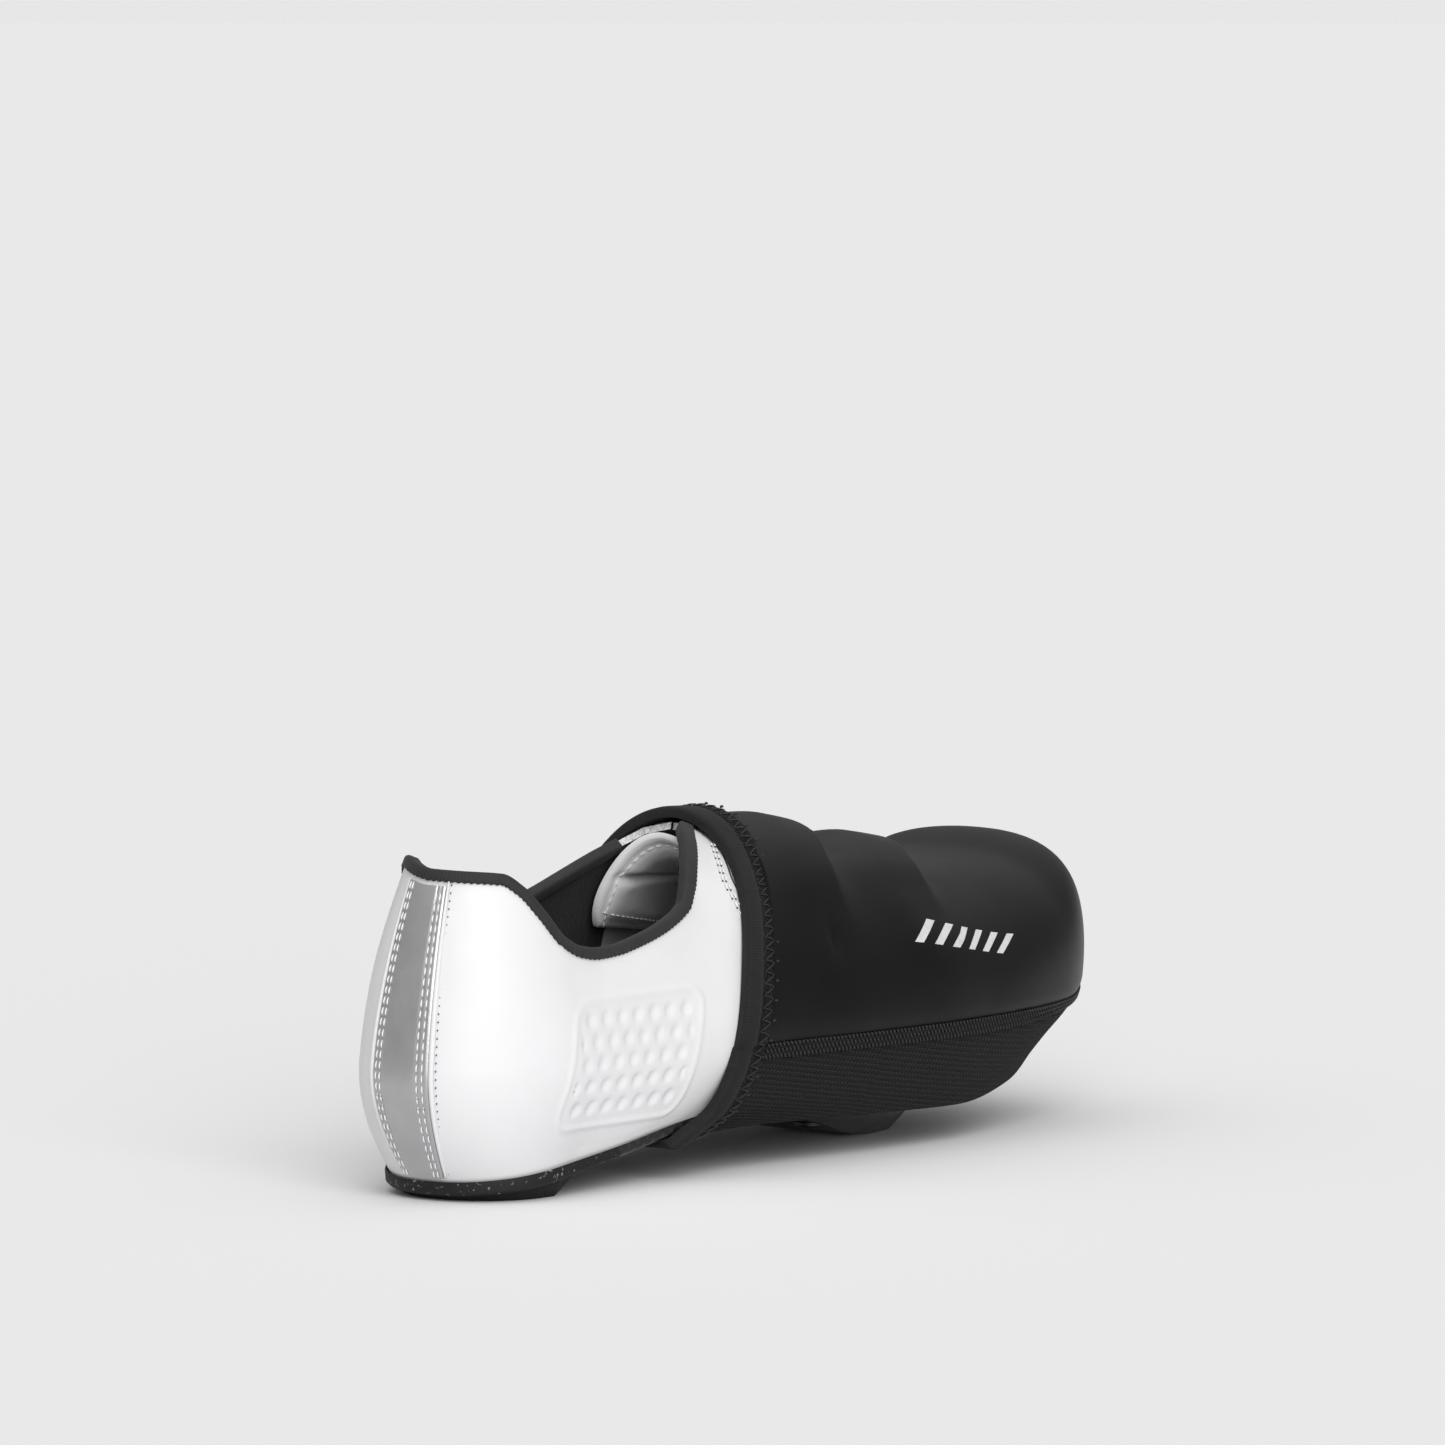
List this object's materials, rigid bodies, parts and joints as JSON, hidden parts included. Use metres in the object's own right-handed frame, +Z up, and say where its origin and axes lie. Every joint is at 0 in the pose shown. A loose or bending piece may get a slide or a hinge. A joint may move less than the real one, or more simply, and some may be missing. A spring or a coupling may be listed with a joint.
{
  "type": "cycling shoe with toe cover",
  "caption": "Right road cycling shoe, white with a stiff black sole, wearing a smooth black neoprene toe cover with a knit underside.",
  "frame": {"origin": "middle of the footprint on the floor, under the shoe", "axes": "+X to the toe, +Y to the medial side, +Z up"},
  "size_m": [0.2946, 0.103, 0.0978],
  "materials": {
    "white_microfibre": "smooth satin microfibre",
    "carbon_sole": "lacquered fibre plate",
    "insole_fabric": "brushed",
    "black_rubber": "matte",
    "grey_plastic": "moulded",
    "black_binding": "folded woven tape",
    "reflective_strip": "retroreflective film on fabric",
    "tongue_padding": "soft padded microfibre",
    "dial_plastic": "moulded",
    "black_neoprene": "smooth coated, satin",
    "black_knit": "ribbed knit",
    "black_elastic": "woven elastic"
  },
  "bodies": {
    "root": {"upper": "white_microfibre", "sole": "carbon_sole", "insole": "insole_fabric", "heel_pad": "black_rubber", "cleat": "grey_plastic", "collar_binding": "black_binding", "heel_strip": "reflective_strip", "tongue": "tongue_padding", "dial_upper": "dial_plastic", "dial_lower": "dial_plastic", "cover_shell": "black_neoprene", "cover_underside": "black_knit", "cover_edge_band": "black_elastic", "cleat_opening_binding": "black_elastic"}
  },
  "joints": []
}
